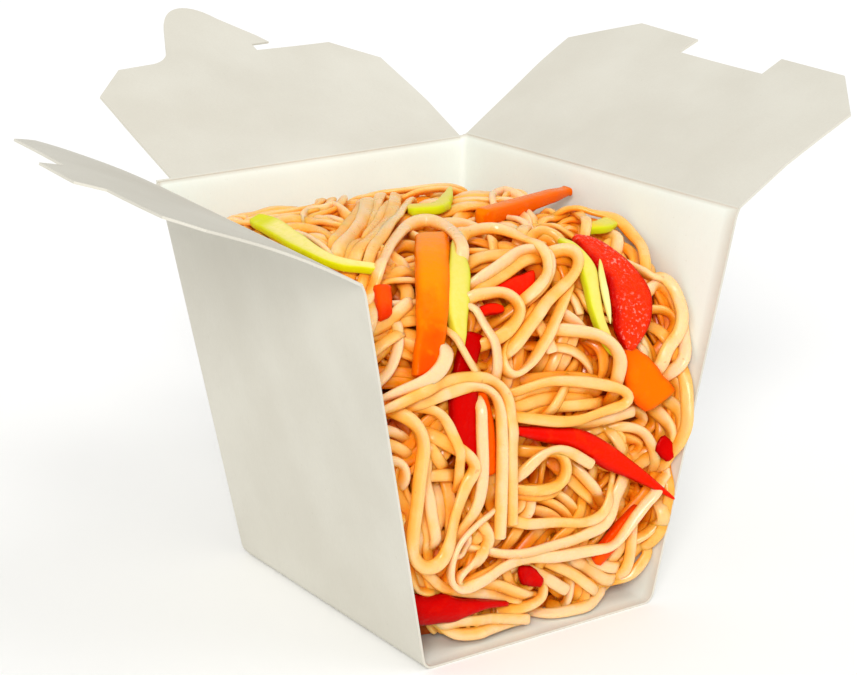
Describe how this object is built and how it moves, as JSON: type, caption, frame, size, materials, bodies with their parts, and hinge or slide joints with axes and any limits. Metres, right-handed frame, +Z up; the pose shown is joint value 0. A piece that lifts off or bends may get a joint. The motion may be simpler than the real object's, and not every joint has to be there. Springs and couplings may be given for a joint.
{
  "type": "noodle takeaway box",
  "caption": "Square tapered paper takeaway box with an open front and fold-out flaps, heaped with saucy noodles and pepper strips.",
  "frame": {"origin": "middle of the box's floor, on the surface it stands on", "axes": "+Z up, +X to the right seen from the open front, -Y towards the open front"},
  "size_m": [0.2054, 0.1769, 0.1307],
  "materials": {
    "card": "smooth uncoated white card with a faint sheen, raw cut edges",
    "noodles": "wet cooked wheat noodles in a thin orange sauce",
    "red_pepper": "glossy cooked red pepper skin",
    "orange_pepper": "glossy cooked orange pepper skin",
    "yellow_pepper": "glossy cooked yellow pepper",
    "green_pepper": "cooked yellow-green pepper strip",
    "leek": "soft cooked leek strip",
    "carrot": "cooked carrot stick"
  },
  "bodies": {
    "box": {"card_box": "card", "noodles": "noodles", "orange_pepper_strip": "orange_pepper", "yellow_pepper_strip": "yellow_pepper", "yellow_top_strip": "yellow_pepper", "yellow_side_piece": "yellow_pepper", "leek_strip": "leek", "carrot_stick": "carrot", "red_pepper_curl": "red_pepper", "green_pepper_strip": "green_pepper", "red_pepper_back": "red_pepper", "red_pepper_middle": "red_pepper", "orange_pepper_sliver": "orange_pepper", "red_pepper_pointed": "red_pepper", "red_pepper_low": "red_pepper", "orange_pepper_side": "orange_pepper", "orange_pepper_tip": "orange_pepper", "red_pepper_corner": "red_pepper"},
    "flap_left": {"left_flap": "card"},
    "flap_back": {"back_flap": "card"},
    "flap_right": {"right_flap": "card"}
  },
  "joints": [
    {"name": "left_fold", "type": "hinge", "parent": "box", "child": "flap_left", "pos_m": [-0.04848, 0.05931, 0.09915], "axis": [0.0558, 0.9984, 0], "range_deg": [-85, 156.7]},
    {"name": "back_fold", "type": "hinge", "parent": "box", "child": "flap_back", "pos_m": [0, 0.0595, 0.1], "axis": [1, 0, 0], "range_deg": [-80, 156.5]},
    {"name": "right_fold", "type": "hinge", "parent": "box", "child": "flap_right", "pos_m": [0.04872, 0.05931, 0.10085], "axis": [0.0566, -0.9984, 0], "range_deg": [-85, 149.5]}
  ]
}
